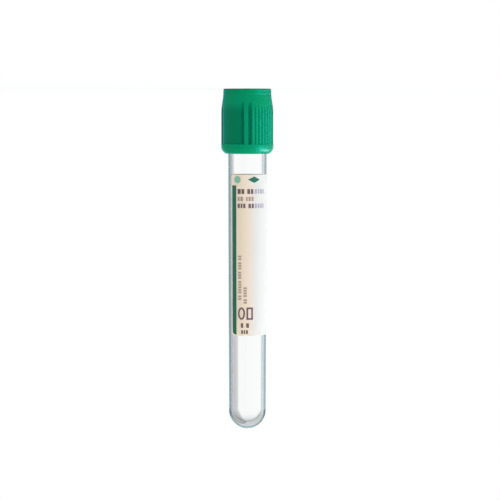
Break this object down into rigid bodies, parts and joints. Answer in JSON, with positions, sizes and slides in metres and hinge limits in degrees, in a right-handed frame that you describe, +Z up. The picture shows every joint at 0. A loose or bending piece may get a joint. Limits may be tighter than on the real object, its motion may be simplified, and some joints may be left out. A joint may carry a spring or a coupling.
{
  "type": "blood collection tube",
  "caption": "Clear round-bottomed blood collection tube with a wrapped paper label, closed by a rubber stopper held in a ribbed green plastic shield.",
  "frame": {"origin": "under the middle of the closure's flat top, on the ground that the tube stands on, upside down", "axes": "+Z up; the tube stands on its closure, so +Z runs from the closure to the tip of the round foot; -Y is the front, the side that the label's coloured edge and marks face; -X is to the right of the front when the tube is held with its closure up"},
  "size_m": [0.0174, 0.0174, 0.1133],
  "materials": {
    "tube": "clear, polished",
    "label": "coated label paper, satin",
    "shield": "moulded, satin gloss",
    "stopper": "moulded rubber, dull"
  },
  "bodies": {
    "closure": {"shield": "shield", "stopper": "stopper"},
    "barrel": {"tube": "tube", "label": "label"}
  },
  "joints": [
    {"name": "closure_pull", "type": "slide", "parent": "closure", "child": "barrel", "axis": [0, 0, 1], "range_m": [0, 0.03]}
  ]
}
